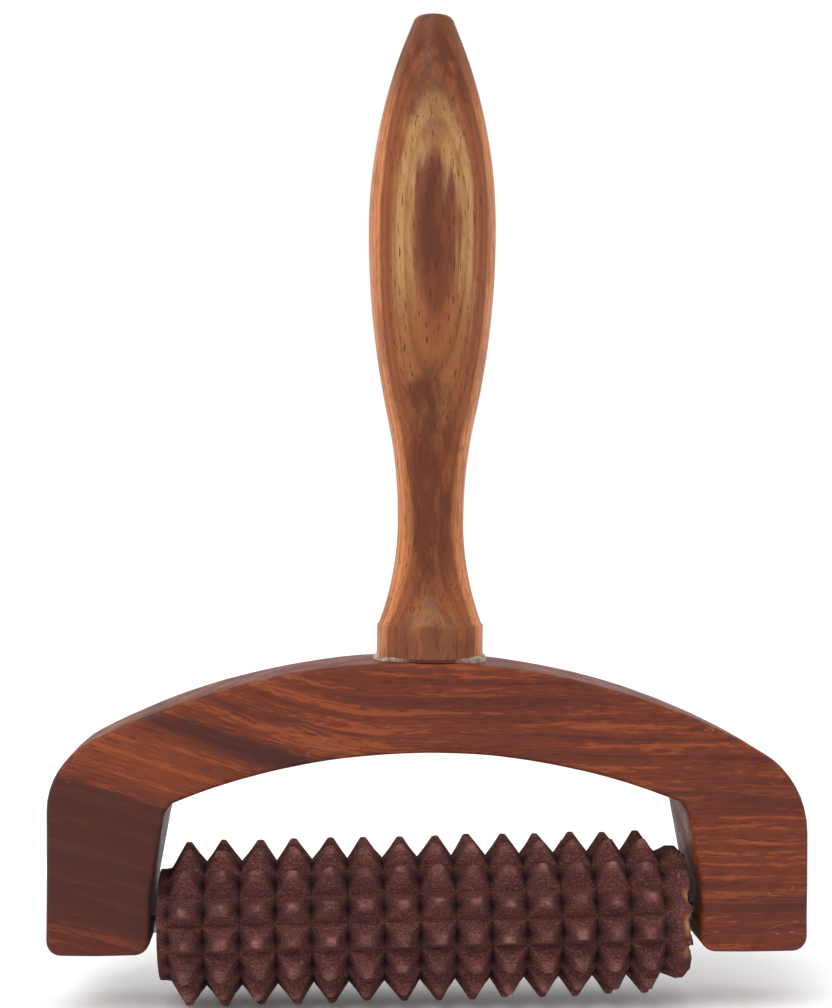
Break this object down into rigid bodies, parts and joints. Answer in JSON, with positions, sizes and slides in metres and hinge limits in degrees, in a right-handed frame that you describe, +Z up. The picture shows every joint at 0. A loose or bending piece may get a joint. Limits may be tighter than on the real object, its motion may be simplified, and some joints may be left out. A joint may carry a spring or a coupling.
{
  "type": "foot massage roller",
  "caption": "Wooden foot massage roller: a turned grip handle on a curved forked yoke that holds a free-turning roller covered in pyramid spikes on a steel axle.",
  "frame": {"origin": "under the handle's axis, midway through the board, level with the roller's lowest spikes", "axes": "+X along the roller towards its blunt right end, +Y through the board to its back, +Z up the handle"},
  "size_m": [0.18, 0.0394, 0.2385],
  "materials": {
    "yoke_wood": "oiled satin red-brown hardwood, long straight grain",
    "handle_wood": "polished streaked hardwood, satin",
    "dried_glue": "dry crusty wood glue",
    "roller_wood": "matt, rough-cut dark hardwood",
    "axle_steel": "drawn steel rod",
    "plug_wood": "end-grain dowel, sanded"
  },
  "bodies": {
    "frame": {"yoke": "yoke_wood", "handle": "handle_wood", "glue_bead": "dried_glue", "axle_rod": "axle_steel", "left_axle_plug": "plug_wood", "right_axle_plug": "plug_wood"},
    "roller": {"spiked_roller": "roller_wood"}
  },
  "joints": [
    {"name": "roller_spin", "type": "hinge", "parent": "frame", "child": "roller", "pos_m": [0, 0, 0.02067], "axis": [0.9998, 0, 0.0209], "continuous": true}
  ]
}
